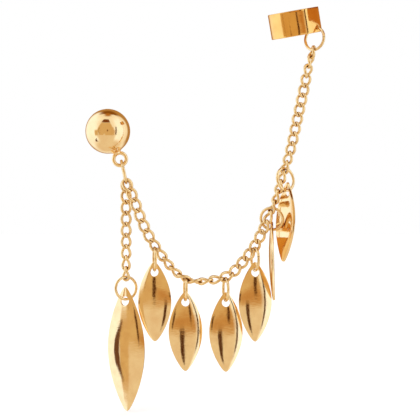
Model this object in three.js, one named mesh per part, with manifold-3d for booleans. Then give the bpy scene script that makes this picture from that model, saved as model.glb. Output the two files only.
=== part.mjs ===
// Ear cuff with a ball stud: a curb chain runs from the stud in the ear lobe up to an open band on
// the rim of the ear. Six small dished leaves hang along it, and a big leaf hangs on a chain of its own.
// Millimetres, +Z up, +Y away from the viewer. The origin is where the post leaves the back of the ball.

import * as THREE from "three";
import { mergeVertices } from "three/addons/utils/BufferGeometryUtils.js";
import Module from "manifold-3d";

// Ball stud
const ballRadius = 4;
const ballSides = 20;
const ballRings = 14;
const postRadius = 0.4;
const postLength = 10;
const postRoot = 1; // how deep the post starts inside the ball
const postSides = 12;
const eyeHoleRadius = 0.8;
const eyeWireRadius = 0.325;
const eyeAngle = 23.5; // degrees from straight down, towards +X
const solderRadius = 0.55;
const solderDepth = 0.5; // how deep the solder starts inside the ball
const eyeSteps = 16;
const eyeSides = 6;

// Push-on nut behind the ear lobe
const lobeGap = 3.8;
const nutPostGap = 0.1;
const nutFlangeRadius = 2.5;
const nutFlangeThickness = 0.5;
const nutBarrelRadius = 1.4;
const nutBarrelLength = 2.2;
const nutSides = 16;

// Open band on the rim of the ear
const cuffRadius = 4.6;
const cuffWall = 0.45;
const cuffHeight = 4.5;
const cuffOpening = 3; // width of the open gap, which faces away from the viewer
const cuffEdgeRadius = 0.1;
const cuffPlace = [33.65, -1.8, 19.69];
const cuffLeanLeft = 9.9; // degrees, top towards -X
const cuffLeanFront = 8.5; // degrees, top towards the viewer
const cuffArcSteps = 26;
const cuffHoleRadius = 0.5;
const cuffHoleEdge = 0.45; // metal left between the hole and the lower edge
const cuffHoleTurn = 51; // degrees round the band from its front, towards +X
const cuffHoleSides = 16;

// Jump rings
const ringRadius = 2; // to the middle of the wire
const ringWireRadius = 0.25;
const ringSteps = 16;
const ringSides = 6;
const ringLeanOnStud = 12.5; // degrees, bottom towards +X
const ringTurnOnStud = 5.5; // degrees off edge-on
const ringSeatOnStud = 38; // degrees from straight down, where the ring bears in the eye
const ringLeanOnCuff = -7.6;
const ringTurnOnDrop = 28; // degrees off face-on, right side farther away

// Chains, of links twisted about their length
const linkWireRadius = 0.2;
const linkWidth = 2.07; // over the wires
const linkTwist = 85; // degrees from end to end
const linkFuse = 0.12; // how far neighbouring links sink into each other
const linkSteps = 12;
const linkSides = 5;
const chainSpread = 1.1; // between the two chains on the stud ring
const mainChainLinks = 39;
const dropChainLinks = 9;
const dropChainPitch = 1.99;

// Fits
const wireGap = 0.08; // between a small leaf's ring and the chain's link
const holeGap = 0.14; // between a ring and the edge of the hole that it hangs in or holds
const bigLeafHoleGap = 0.32; // wider, because this ring crosses the hole aslant
const endGap = 0.17; // between a ring and the end link of a chain

// Route of the long chain, chosen points as X and Z between its two end rings
const chainRoute = [
  [4.57, -11.79],
  [5.89, -15.55],
  [7.63, -19.23],
  [9.96, -22.59],
  [12.2, -25.25],
  [14.75, -26.79],
  [18.23, -26.66],
  [21.61, -25.89],
  [24.07, -23.45],
  [26.41, -20.38],
  [27.98, -17.09],
  [29.45, -13.82],
  [31.11, -8.41],
  [32.68, -3.3],
  [33.88, 2.16],
  [35.09, 7.66],
  [35.84, 11.3],
];
const chainDepth = -4.5; // Y of the long chain
// How far apart the long chain's links lie, as shares: taut beside the stud, closer towards the cuff
const chainStretch = [
  [0, 1.05],
  [13, 1.05],
  [15, 0.99],
  [18, 0.99],
  [20, 1.03],
  [23, 1.03],
  [25, 0.94],
  [38, 0.935],
];
// How the long chain's links are rolled about its run: link number and degrees
const chainRoll = [
  [0, 20],
  [3, 0],
  [5, 0],
  [7, -35],
  [9, -58],
  [10, -62],
  [11, -88],
  [13, -125],
  [14, -155],
  [16, -180],
  [19, -180],
  [20, -150],
  [22, -102],
  [24, -120],
  [26, -125],
  [28, -150],
  [31, -180],
  [34, -180],
  [35, -200],
  [36, -226],
  [37, -252],
  [38, -280],
];
const dropRoll = [
  [0, 12],
  [6, -25],
  [8, -62],
];

// Leaves: outline, dish and hole
const leafLength = 14.1;
const leafWidth = 5.9;
const leafSheet = 0.4;
const leafDish = 0.6;
const leafHoleRadius = 0.75;
const leafHoleDrop = 1.8; // from the leaf's upper point to the hole's centre
const bigLeafLength = 22.1;
const bigLeafWidth = 7.5;
const bigLeafSheet = 0.4;
const bigLeafDish = 0.9;
const bigLeafHoleRadius = 0.85;
const bigLeafHoleDrop = 2.4;
const bigLeafTurn = -27; // degrees, right side towards the viewer
const bigLeafLean = -0.8; // degrees, tip towards +X
const leafPointWidth = 0.24; // the blunt points at both ends
const leafFullness = 0.8; // lower is fuller towards the points
const creaseShare = 0.35; // how much of the dish is a crease down the middle
const leafRows = 11;
const leafColumns = 8;
const bigLeafRows = 16;
const leafHoleSides = 16;

// Small leaves from the stud to the cuff. link: where the ring hangs. ringTurn and leafTurn: degrees from
// facing the viewer, about the vertical. ringPitch: bottom of the ring away from the viewer. leafLean:
// tip towards -X. A leaf turned past 90 degrees shows the hollow of its dish.
const drops = [
  { link: 6, ringTurn: 98, ringPitch: 0, leafTurn: -9, leafLean: -0.5 },
  { link: 10, ringTurn: 97, ringPitch: 0, leafTurn: 8, leafLean: 0 },
  { link: 14, ringTurn: 102, ringPitch: 0, leafTurn: 10, leafLean: 0 },
  { link: 18, ringTurn: 107, ringPitch: 0, leafTurn: 12, leafLean: 0 },
  { link: 22, ringTurn: -16, ringPitch: 14, leafTurn: -94, leafLean: -1.5 },
  { link: 26, ringTurn: 41, ringPitch: -9, leafTurn: 118, leafLean: 3 },
];

const wasm = await Module();
wasm.setup();

const gold = { color: 0xd9a24a, metalness: 1 };
const polishedGold = new THREE.MeshStandardMaterial({ ...gold, roughness: 0.12 });
const wireGold = new THREE.MeshStandardMaterial({ ...gold, roughness: 0.2 });

const part = new THREE.Group();

const radians = THREE.MathUtils.degToRad;
const up = new THREE.Vector3(0, 0, 1);
const back = new THREE.Vector3(0, 1, 0);

// Solids

function solidFrom(geometry) {
  const bare = geometry.clone();
  bare.deleteAttribute("normal");
  bare.deleteAttribute("uv");
  const merged = mergeVertices(bare, 1e-4);
  return new wasm.Manifold(
    new wasm.Mesh({
      numProp: 3,
      vertProperties: merged.attributes.position.array,
      triVerts: new Uint32Array(merged.index.array),
    }),
  );
}

function geometryFrom(solid) {
  const mesh = solid.getMesh();
  const geometry = new THREE.BufferGeometry();
  geometry.setAttribute("position", new THREE.BufferAttribute(mesh.vertProperties, 3));
  geometry.setIndex(new THREE.BufferAttribute(mesh.triVerts, 1));
  geometry.computeVertexNormals();
  return geometry;
}

function addPiece(name, geometry, material) {
  const mesh = new THREE.Mesh(geometry, material);
  mesh.name = name;
  part.add(mesh);
  return mesh;
}

// A cylinder from one point to another.
function rod(from, to, radius, sides) {
  const run = to.clone().sub(from);
  const geometry = new THREE.CylinderGeometry(radius, radius, run.length(), sides);
  const turn = new THREE.Quaternion().setFromUnitVectors(back, run.clone().normalize());
  geometry.applyQuaternion(turn);
  const middle = from.clone().add(to).multiplyScalar(0.5);
  return geometry.translate(middle.x, middle.y, middle.z);
}

// Jump rings

// A ring is a centre, the way from its centre to its lowest point, and the way that its wire runs there.
function ringAt(centre, down, along) {
  return { centre, down, along, normal: along.clone().cross(down).normalize() };
}

function ringBottom(ring) {
  return ring.centre.clone().addScaledVector(ring.down, ringRadius);
}

function addRing(name, ring) {
  const geometry = new THREE.TorusGeometry(ringRadius, ringWireRadius, ringSides, ringSteps);
  const frame = new THREE.Matrix4().makeBasis(ring.along, ring.down, ring.normal);
  geometry.applyMatrix4(frame);
  geometry.translate(ring.centre.x, ring.centre.y, ring.centre.z);
  addPiece(name, geometry, wireGold);
}

// Distance from a point to the middle of a ring's wire.
function distanceToRing(point, ring) {
  const offset = point.clone().sub(ring.centre);
  const height = offset.dot(ring.normal);
  const flat = Math.sqrt(Math.max(offset.lengthSq() - height * height, 0));
  return Math.hypot(flat - ringRadius, height);
}

// Chains

const linkHalfWidth = linkWidth / 2 - linkWireRadius;

// A value between the rows of a table of [number, value].
function fromTable(table, number) {
  const next = table.findIndex((row) => row[0] >= number);
  if (next < 1) return table.at(next === 0 ? 0 : -1)[1];
  const [n0, v0] = table[next - 1];
  const [n1, v1] = table[next];
  return v0 + ((v1 - v0) * (number - n0)) / (n1 - n0);
}

// The middle line of a link's wire: an oval, twisted evenly about its length.
class LinkCurve extends THREE.Curve {
  constructor(from, to, rollDegrees) {
    super();
    this.run = to.clone().sub(from);
    this.halfLength = this.run.length() / 2 + linkWireRadius - linkFuse / 2;
    this.run.normalize();
    this.middle = from.clone().add(to).multiplyScalar(0.5);
    this.roll = radians(rollDegrees);
    this.second = back.clone().addScaledVector(this.run, -back.dot(this.run)).normalize();
    this.first = this.run.clone().cross(this.second);
  }

  getPoint(t, target = new THREE.Vector3()) {
    const angle = 2 * Math.PI * t;
    const share = Math.cos(angle);
    const width = linkHalfWidth * Math.sin(angle);
    const turn = this.roll + (radians(linkTwist) / 2) * share;
    return target
      .copy(this.middle)
      .addScaledVector(this.run, this.halfLength * share)
      .addScaledVector(this.first, width * Math.cos(turn))
      .addScaledVector(this.second, width * Math.sin(turn));
  }
}

// The points where neighbouring links meet: along a route, spaced by the table's shares, with the last
// one on the route's end.
function linkEnds(route, count, stretchTable) {
  const samples = route.getSpacedPoints(count * 40);
  const walk = (pitch) => {
    const points = [samples[0]];
    let sample = 0;
    while (points.length <= count) {
      const last = points.at(-1);
      const reach = pitch * fromTable(stretchTable, points.length - 1);
      while (sample < samples.length && samples[sample].distanceTo(last) < reach) sample += 1;
      if (sample === samples.length) return { points, runsOut: true };
      const way = samples[sample].clone().sub(last).normalize();
      points.push(last.clone().addScaledVector(way, reach));
    }
    return { points, runsOut: false };
  };
  let low = 0;
  let high = (2 * route.getLength()) / count;
  for (let halving = 0; halving < 40; halving += 1) {
    const pitch = (low + high) / 2;
    if (walk(pitch).runsOut) high = pitch;
    else low = pitch;
  }
  return walk(low).points;
}

function chainLinks(points, rollTable) {
  return points
    .slice(1)
    .map((point, i) => new LinkCurve(points[i], point, fromTable(rollTable, i)));
}

function addChain(name, links) {
  const solids = links.map((link) => {
    const tube = new THREE.TubeGeometry(link, linkSteps, linkWireRadius, linkSides, true);
    return solidFrom(tube);
  });
  const chain = solids.reduce((whole, link) => whole.add(link));
  addPiece(name, geometryFrom(chain), wireGold);
}

// From a ring's wire to where the chain's first two links would touch, along the chain's run.
const endReach = linkWireRadius + ringWireRadius + endGap;
const endStep = linkWireRadius - linkFuse / 2;

function chainEnd(wirePoint, awayFromRing) {
  return wirePoint.clone().addScaledVector(awayFromRing, endStep - endReach);
}

const seatStiffness = 200;
const seatFirstStep = 0.12;
const seatLastStep = 0.001;

// Lowers a ring that passes through one link until its wire bears on the chain.
function seatRing(links, number, down, along) {
  const near = links.slice(Math.max(number - 2, 0), number + 3);
  const wire = near.flatMap((link) => link.getPoints(72));
  const start = links[number].middle.clone().addScaledVector(down, ringRadius);
  const ring = ringAt(start, down, along);
  const clear = linkWireRadius + ringWireRadius + wireGap;
  const cost = () => {
    const gap = Math.min(...wire.map((point) => distanceToRing(point, ring)));
    return ring.centre.z + seatStiffness * Math.max(clear - gap, 0);
  };
  const signs = [-1, 0, 1];
  const moves = signs
    .flatMap((x) => signs.flatMap((y) => signs.map((z) => new THREE.Vector3(x, y, z))))
    .filter((move) => move.lengthSq() > 0)
    .map((move) => move.normalize());
  let best = cost();
  for (let step = seatFirstStep; step > seatLastStep; step /= 1.5) {
    for (let tries = 0; tries < 20; tries += 1) {
      let moved = false;
      for (const way of moves) {
        ring.centre.addScaledVector(way, step);
        const value = cost();
        if (value < best - 1e-6) {
          best = value;
          moved = true;
        } else {
          ring.centre.addScaledVector(way, -step);
        }
      }
      if (!moved) break;
    }
  }
  return ring;
}

// Leaves

// Half the width of a leaf at a share of its length, between two blunt points.
function leafHalfWidth(share, width) {
  const swell = Math.sin(Math.PI * share) ** leafFullness;
  return leafPointWidth / 2 + (width / 2 - leafPointWidth / 2) * swell;
}

// How far the leaf's middle sheet stands out, across from -1 to 1.
function leafBulge(share, across, dish) {
  const round = 1 - across * across;
  const crease = 1 - Math.abs(across);
  const swell = Math.sin(Math.PI * share) ** leafFullness;
  return dish * swell * ((1 - creaseShare) * round + creaseShare * crease);
}

// A leaf in its own frame: hole's centre at the origin, point up, bulging towards -Y.
function leafGeometry({ length, width, sheet, dish, holeRadius, holeDrop, rows }) {
  const geometry = new THREE.BoxGeometry(2, sheet, 1, leafColumns, 1, rows);
  const place = geometry.attributes.position;
  for (let i = 0; i < place.count; i += 1) {
    const across = place.getX(i);
    const share = 0.5 - place.getZ(i);
    place.setX(i, across * leafHalfWidth(share, width));
    place.setY(i, place.getY(i) - leafBulge(share, across, dish));
    place.setZ(i, holeDrop - share * length);
  }
  const drill = new THREE.CylinderGeometry(holeRadius, holeRadius, 4 * (dish + sheet), leafHoleSides);
  return geometryFrom(solidFrom(geometry).subtract(solidFrom(drill)));
}

// Hangs a leaf by its hole on the lowest point of a ring's wire.
function hangLeaf(name, ring, shape, gap, turn, lean) {
  const leaf = addPiece(name, leafGeometry(shape), polishedGold);
  const drop = shape.holeRadius - ringWireRadius - gap;
  leaf.position.copy(ringBottom(ring)).addScaledVector(up, -drop);
  leaf.rotation.order = "YXZ";
  leaf.rotation.set(0, radians(lean), radians(turn));
}

// The ball stud

const ballCentre = new THREE.Vector3(0, -ballRadius, 0);
const eyeRingRadius = eyeHoleRadius + eyeWireRadius;
const eyeWay = new THREE.Vector3(Math.sin(radians(eyeAngle)), 0, -Math.cos(radians(eyeAngle)));
const eyeCentre = ballCentre
  .clone()
  .addScaledVector(eyeWay, ballRadius + eyeRingRadius + eyeWireRadius);

function buildBallStud() {
  const ball = new THREE.SphereGeometry(ballRadius, ballSides, ballRings);
  ball.translate(ballCentre.x, ballCentre.y, ballCentre.z);
  const eye = new THREE.TorusGeometry(eyeRingRadius, eyeWireRadius, eyeSides, eyeSteps);
  eye.rotateX(Math.PI / 2);
  eye.translate(eyeCentre.x, eyeCentre.y, eyeCentre.z);
  const solder = rod(
    ballCentre.clone().addScaledVector(eyeWay, ballRadius - solderDepth),
    ballCentre.clone().addScaledVector(eyeWay, ballRadius + eyeWireRadius),
    solderRadius,
    postSides,
  );
  const post = rod(
    back.clone().multiplyScalar(-postRoot),
    back.clone().multiplyScalar(postLength),
    postRadius,
    postSides,
  );
  const solid = [eye, solder, post].reduce(
    (whole, piece) => whole.add(solidFrom(piece)),
    solidFrom(ball),
  );
  addPiece("ball_stud", geometryFrom(solid), polishedGold);
}

function buildEarNut() {
  const bore = postRadius + nutPostGap;
  const end = lobeGap + nutFlangeThickness + nutBarrelLength;
  const profile = [
    [bore, lobeGap],
    [nutFlangeRadius, lobeGap],
    [nutFlangeRadius, lobeGap + nutFlangeThickness],
    [nutBarrelRadius, lobeGap + nutFlangeThickness],
    [nutBarrelRadius, end],
    [bore, end],
    [bore, lobeGap],
  ].map(([radius, place]) => new THREE.Vector2(radius, place));
  addPiece("ear_nut", new THREE.LatheGeometry(profile, nutSides), polishedGold);
}

// The cuff band

const cuffTurn = new THREE.Quaternion().setFromEuler(
  new THREE.Euler(radians(cuffLeanFront), radians(-cuffLeanLeft), 0),
);
const cuffCentre = new THREE.Vector3(...cuffPlace);
const cuffHoleWay = new THREE.Vector3(
  Math.sin(radians(cuffHoleTurn)),
  -Math.cos(radians(cuffHoleTurn)),
  0,
);
const cuffHoleHeight = cuffHoleEdge + cuffHoleRadius - cuffHeight / 2;

// A point on the wall's middle at a height over the band's centre, in the part's frame.
function cuffWallPoint(height) {
  return cuffHoleWay
    .clone()
    .multiplyScalar(cuffRadius - cuffWall / 2)
    .addScaledVector(up, height)
    .applyQuaternion(cuffTurn)
    .add(cuffCentre);
}

function buildCuffBand() {
  const openHalf = Math.asin(cuffOpening / 2 / cuffRadius);
  const inner = cuffRadius - cuffWall;
  const wall = new THREE.Shape();
  wall.absarc(0, 0, cuffRadius, Math.PI / 2 + openHalf, 2.5 * Math.PI - openHalf, false);
  wall.absarc(0, 0, inner, 2.5 * Math.PI - openHalf, Math.PI / 2 + openHalf, true);
  const band = new THREE.ExtrudeGeometry(wall, {
    depth: cuffHeight - 2 * cuffEdgeRadius,
    curveSegments: cuffArcSteps,
    bevelThickness: cuffEdgeRadius,
    bevelSize: cuffEdgeRadius,
    bevelOffset: -cuffEdgeRadius,
    bevelSegments: 1,
  });
  band.translate(0, 0, cuffEdgeRadius - cuffHeight / 2);
  const drill = rod(
    cuffHoleWay.clone().multiplyScalar(inner - cuffWall),
    cuffHoleWay.clone().multiplyScalar(cuffRadius + cuffWall),
    cuffHoleRadius,
    cuffHoleSides,
  ).translate(0, 0, cuffHoleHeight);
  const geometry = geometryFrom(solidFrom(band).subtract(solidFrom(drill)));
  const mesh = addPiece("cuff_band", geometry, polishedGold);
  mesh.position.copy(cuffCentre);
  mesh.quaternion.copy(cuffTurn);
}

// The rings at both ends of the long chain

// A level direction, turned from +X towards +Y.
function levelWay(degrees) {
  return new THREE.Vector3(Math.cos(radians(degrees)), Math.sin(radians(degrees)), 0);
}

// A direction in the picture's plane, turned from straight down towards +X.
function leaning(degrees) {
  return new THREE.Vector3(Math.sin(radians(degrees)), 0, -Math.cos(radians(degrees)));
}

function studRing() {
  const down = leaning(ringLeanOnStud);
  const seat = eyeHoleRadius - ringWireRadius - holeGap;
  const top = eyeCentre.clone().addScaledVector(leaning(ringSeatOnStud), seat);
  const along = levelWay(90 + ringTurnOnStud);
  along.addScaledVector(down, -along.dot(down)).normalize();
  return ringAt(top.addScaledVector(down, ringRadius), down, along);
}

function cuffRing() {
  const down = leaning(ringLeanOnCuff);
  const top = cuffWallPoint(cuffHoleHeight - cuffHoleRadius + ringWireRadius + holeGap);
  const along = cuffHoleWay.clone().applyQuaternion(cuffTurn);
  along.addScaledVector(down, -along.dot(down)).normalize();
  return ringAt(top.addScaledVector(down, ringRadius), down, along);
}

// A point on a ring's wire beside its lowest point.
function besideBottom(ring, offset) {
  const angle = Math.asin(offset / ringRadius);
  return ring.centre
    .clone()
    .addScaledVector(ring.down, ringRadius * Math.cos(angle))
    .addScaledVector(ring.along, ringRadius * Math.sin(angle));
}

buildBallStud();
buildEarNut();
buildCuffBand();

const ringOnStud = studRing();
addRing("stud_ring", ringOnStud);
const ringOnCuff = cuffRing();
addRing("cuff_ring", ringOnCuff);

// The long chain
const routeMiddle = chainRoute.map(([x, z]) => new THREE.Vector3(x, chainDepth, z));
const mainStart = besideBottom(ringOnStud, -chainSpread / 2);
const mainEnd = ringBottom(ringOnCuff);
const startWay = routeMiddle[0].clone().sub(mainStart).normalize();
const endWay = routeMiddle.at(-1).clone().sub(mainEnd).normalize();
const route = new THREE.CatmullRomCurve3(
  [chainEnd(mainStart, startWay), ...routeMiddle, chainEnd(mainEnd, endWay)],
  false,
  "centripetal",
);
const mainLinks = chainLinks(linkEnds(route, mainChainLinks, chainStretch), chainRoll);
addChain("main_chain", mainLinks);

// The short chain hangs straight down
const straightDown = up.clone().negate();
const dropStart = chainEnd(besideBottom(ringOnStud, chainSpread / 2), straightDown);
const dropPoints = Array.from({ length: dropChainLinks + 1 }, (_, i) =>
  dropStart.clone().addScaledVector(straightDown, i * dropChainPitch),
);
const dropLinks = chainLinks(dropPoints, dropRoll);
addChain("drop_chain", dropLinks);

const dropRingTop = dropPoints.at(-1).clone().addScaledVector(straightDown, endStep - endReach);
const dropRing = ringAt(
  dropRingTop.addScaledVector(straightDown, ringRadius),
  straightDown.clone(),
  levelWay(ringTurnOnDrop),
);
addRing("drop_ring", dropRing);

const bigLeaf = {
  length: bigLeafLength,
  width: bigLeafWidth,
  sheet: bigLeafSheet,
  dish: bigLeafDish,
  holeRadius: bigLeafHoleRadius,
  holeDrop: bigLeafHoleDrop,
  rows: bigLeafRows,
};
hangLeaf("big_leaf", dropRing, bigLeaf, bigLeafHoleGap, bigLeafTurn, bigLeafLean);

// The small leaves on their rings
const smallLeaf = {
  length: leafLength,
  width: leafWidth,
  sheet: leafSheet,
  dish: leafDish,
  holeRadius: leafHoleRadius,
  holeDrop: leafHoleDrop,
  rows: leafRows,
};
drops.forEach(({ link, ringTurn, ringPitch, leafTurn, leafLean }, i) => {
  const along = levelWay(ringTurn);
  const down = straightDown.clone().applyAxisAngle(along, radians(ringPitch));
  const ring = seatRing(mainLinks, link, down, along);
  addRing(`leaf_ring_${i + 1}`, ring);
  hangLeaf(`leaf_${i + 1}`, ring, smallLeaf, holeGap, leafTurn, leafLean);
});

export default part;
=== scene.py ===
# %% [markdown]
# # An ear cuff with a ball stud
# The real piece is costume jewellery of gold-plated brass. A post with a polished ball goes through the
# ear lobe, an open band clips on the rim of the ear, and a curb chain joins the two. Six small dished
# leaves hang along that chain from jump rings, and a big leaf hangs on a short chain of its own.
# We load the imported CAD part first. Every piece is then made in the same frame, in metres, so nothing
# has to be fitted by eye, and each piece says which CAD nodes it stands for.

import math

import bmesh
import bpy
from mathutils import Matrix, Vector


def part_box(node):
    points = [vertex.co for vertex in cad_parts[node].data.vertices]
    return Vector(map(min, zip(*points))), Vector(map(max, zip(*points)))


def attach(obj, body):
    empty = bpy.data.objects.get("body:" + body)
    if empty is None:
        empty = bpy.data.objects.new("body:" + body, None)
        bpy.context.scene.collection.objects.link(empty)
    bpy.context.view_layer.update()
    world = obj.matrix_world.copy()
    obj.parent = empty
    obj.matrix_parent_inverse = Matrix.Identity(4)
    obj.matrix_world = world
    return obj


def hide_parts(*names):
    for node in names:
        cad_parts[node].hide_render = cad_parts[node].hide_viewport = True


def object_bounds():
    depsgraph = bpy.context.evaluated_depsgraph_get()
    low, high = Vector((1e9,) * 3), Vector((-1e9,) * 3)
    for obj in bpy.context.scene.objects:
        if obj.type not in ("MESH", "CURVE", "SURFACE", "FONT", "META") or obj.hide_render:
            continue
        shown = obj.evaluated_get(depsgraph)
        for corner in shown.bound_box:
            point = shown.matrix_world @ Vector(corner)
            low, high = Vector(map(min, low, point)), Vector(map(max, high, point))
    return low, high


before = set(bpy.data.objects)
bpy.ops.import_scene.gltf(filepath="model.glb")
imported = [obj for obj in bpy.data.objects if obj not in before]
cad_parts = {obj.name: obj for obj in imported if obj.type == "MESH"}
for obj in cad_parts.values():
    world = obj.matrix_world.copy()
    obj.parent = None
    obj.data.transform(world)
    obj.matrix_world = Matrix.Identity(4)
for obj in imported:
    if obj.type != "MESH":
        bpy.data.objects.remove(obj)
cad_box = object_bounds()
MM = 0.001
print("CAD box in mm:", [[round(v / MM, 2) for v in corner] for corner in cad_box])

# %% [markdown]
# ## Camera
# The picture is 75 mm wide where the chain hangs. A long lens a hand's length away keeps the leaves at
# both ends of the chain from being seen aslant, as in a catalogue picture.

# %% Camera
PICTURE_WIDTH = 75 * MM
SENSOR = 36  # mm, Blender's usual one
LENS = 100  # mm
CHAIN_DEPTH = -4.5 * MM
PICTURE_MIDDLE = Vector((18.29 * MM, CHAIN_DEPTH, -14.09 * MM))

camera_distance = PICTURE_WIDTH * LENS / SENSOR
camera = bpy.data.objects.new("camera", bpy.data.cameras.new("camera"))
camera.data.lens = LENS
camera.data.sensor_width = SENSOR
camera.data.clip_start = 10 * MM
camera.location = PICTURE_MIDDLE - Vector((0, camera_distance, 0))
camera.rotation_euler = (math.radians(90), 0, 0)
bpy.context.collection.objects.link(camera)
bpy.context.scene.camera = camera
bpy.context.scene.view_settings.view_transform = "Standard"
print("camera stands", round(camera_distance / MM, 1), "mm from the chain")

# %% [markdown]
# ## Adding nodes
# Materials, the studio's light and the repeated pieces are all trees of nodes. One small function adds a
# node: plain values fill its inputs in order, another node or socket is linked, and None leaves an input
# alone. A dictionary fills inputs by name. Colours are picked as screen hex values, so a second
# function turns them to the linear values that the renderer works in.

# %% Adding nodes
def add(tree, kind, *inputs, **settings):
    """Adds one node with its settings, values and links, and returns it."""
    node = tree.nodes.new(kind)
    for name, value in settings.items():
        setattr(node, name, value)
    sockets = [s for s in node.inputs if s.enabled]
    if inputs and isinstance(inputs[0], dict):
        sockets = [node.inputs[name] for name in inputs[0]]
        inputs = inputs[0].values()
    for socket, value in zip(sockets, inputs):
        if isinstance(value, bpy.types.Node):
            value = next(s for s in value.outputs if s.enabled)
        if isinstance(value, bpy.types.NodeSocket):
            tree.links.new(value, socket)
        elif value is not None:
            socket.default_value = value
    return node


def linear(hex_colour):
    """A screen colour such as "#D9A24A" as linear red, green, blue and alpha."""
    parts = [int(hex_colour[i : i + 2], 16) / 255 for i in (1, 3, 5)]
    return [p / 12.92 if p <= 0.04045 else ((p + 0.055) / 1.055) ** 2.4 for p in parts] + [1.0]


print("screen grey #808080 is", round(linear("#808080")[0], 3), "in linear light")

# %% [markdown]
# ## The gold finishes
# The metal is brass with a thin bright gold plating. A tumbled and plated surface is never a perfect
# mirror: it has a faint ripple from stamping, fine handling scratches, and worn patches that shine a
# little less and are a little darker and warmer. The crevices and the places where parts meet carry
# painted shade: ambient occlusion darkens the colour there. The leaves, ball and band are the smoothest.
# The chain and rings are of drawn wire, which keeps more of its dullness.

# %% The gold finishes
def plated_gold(name, colour, shade_and_wear_colour, shine, ripple, chatter, scratch):
    """Gold plating. shine is (lowest, highest) roughness. ripple is the height of the slow waves from
    stamping, chatter that of the fine ones across the sheet, and scratch a depth, all in mm."""
    material = bpy.data.materials.new(name)
    material.use_nodes = True
    tree = material.node_tree
    tree.nodes.clear()
    place = add(tree, "ShaderNodeTexCoord").outputs["Object"]
    in_mm = add(tree, "ShaderNodeVectorMath", place, (1 / MM, 1 / MM, 1 / MM), operation="MULTIPLY")

    # Noise scales are per mm: worn patches are about 2 mm across, smears 0.4 mm, stamped waves 2.4 mm.
    patches = add(tree, "ShaderNodeTexNoise", {"Vector": in_mm, "Scale": 0.55, "Detail": 3.0})
    smears = add(tree, "ShaderNodeTexNoise", {"Vector": in_mm, "Scale": 2.4, "Detail": 5.0})
    both = add(tree, "ShaderNodeMath", patches, smears, operation="MULTIPLY")
    rough = add(tree, "ShaderNodeMapRange", both, 0.12, 0.42, *shine)

    # Painted shade: ambient occlusion mixes the darker colour in at crevices and where parts touch. The worn
    # patches are real wear and take a little of the same colour.
    shade_ao = add(tree, "ShaderNodeAmbientOcclusion", {"Distance": 0.35 * MM}, samples=8)
    painted_shade = add(tree, "ShaderNodeMapRange", shade_ao.outputs["AO"], 0.2, 0.85, 1.0, 0.0)
    worn = add(tree, "ShaderNodeMapRange", patches, 0.35, 0.75, 0.0, 0.22)
    shade_and_wear = add(tree, "ShaderNodeMath", painted_shade, worn, operation="MAXIMUM")
    plating = add(tree, "ShaderNodeMix", shade_and_wear, colour, shade_and_wear_colour, data_type="RGBA")

    # Scratches are thin lines where a stretched noise crosses its middle value. They are drawn up to
    # 0.03 mm wide, coarser than real handling scratches, which wouldn't show at this size.
    grain = add(
        tree,
        "ShaderNodeMapping",
        {"Vector": in_mm, "Rotation": (0.5, 0.3, 0.8), "Scale": (9, 0.8, 1.6)},
    )
    lines = add(tree, "ShaderNodeTexNoise", {"Vector": grain, "Scale": 1.0, "Detail": 2.0})
    middle = add(tree, "ShaderNodeMath", lines, 0.5, operation="SUBTRACT")
    thin = add(tree, "ShaderNodeMath", middle, operation="ABSOLUTE")
    scored = add(tree, "ShaderNodeMapRange", thin, 0.0, 0.012, 1.0, 0.0)
    swell = add(tree, "ShaderNodeTexNoise", {"Vector": in_mm, "Scale": 0.42, "Detail": 1.0})
    low = add(tree, "ShaderNodeBump", {"Strength": 1.0, "Distance": ripple * MM, "Height": swell})
    across = add(tree, "ShaderNodeMapping", {"Vector": in_mm, "Scale": (1.3, 1.3, 4.5)})
    teeth = add(tree, "ShaderNodeTexNoise", {"Vector": across, "Scale": 1.0, "Detail": 3.0})
    low = add(
        tree,
        "ShaderNodeBump",
        {"Strength": 1.0, "Distance": chatter * MM, "Height": teeth, "Normal": low},
    )
    high = add(
        tree,
        "ShaderNodeBump",
        {"Strength": 1.0, "Distance": scratch * MM, "Height": scored, "Normal": low},
        invert=True,
    )
    metal = add(
        tree,
        "ShaderNodeBsdfPrincipled",
        {"Base Color": plating, "Metallic": 1.0, "Roughness": rough, "Normal": high},
    )
    add(tree, "ShaderNodeOutputMaterial", metal)
    print("finish", name, "roughness", shine)
    return material


# %% [markdown]
# ### Three grades of it
# The same plating looks different on a stamped leaf, on a rolled strip and on drawn wire, so the recipe is
# used three times, with other tones and another grain.

# %% Three grades of gold
# Bright decorative plating on tumbled brass: nearly a mirror, pale yellow, as on the ball and leaves.
polished_gold = plated_gold(
    "polished gold plating",
    linear("#FCE2B0"),
    # the colour of the painted shade in crevices, and the tint of worn patches
    linear("#D98A35"),
    shine=(0.04, 0.11),
    ripple=0.02,
    chatter=0.006,
    scratch=0.0006,
)
# The same plating on the rolled strip of the band: a little redder, with slow waves in its mirror.
rich_gold = plated_gold(
    "warm gold plating",
    linear("#F8C877"),
    # the colour of the painted shade in crevices, and the tint of worn patches
    linear("#C8741E"),
    shine=(0.05, 0.12),
    ripple=0.03,
    chatter=0.006,
    scratch=0.0006,
)
# Plating on drawn wire: a soft sheen instead of a mirror, and red-brown painted shade where the links cross.
wire_gold = plated_gold(
    "plated brass wire",
    linear("#FCDFA8"),
    # the red-brown of the painted shade where links cross, and the tint of worn patches
    linear("#7E3A0A"),
    shine=(0.08, 0.18),
    ripple=0.01,
    chatter=0.002,
    scratch=0.0008,
)

# %% [markdown]
# ## Skins, meshes and dressing
# Turned and bent pieces are skins over a run of loops: points go round each loop, and the loops go along
# the piece. That gives even quads, which carry a mirror finish far better than a cut-up primitive.
# A piece with modifiers is turned to a plain mesh before it is handed to the frame.

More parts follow.
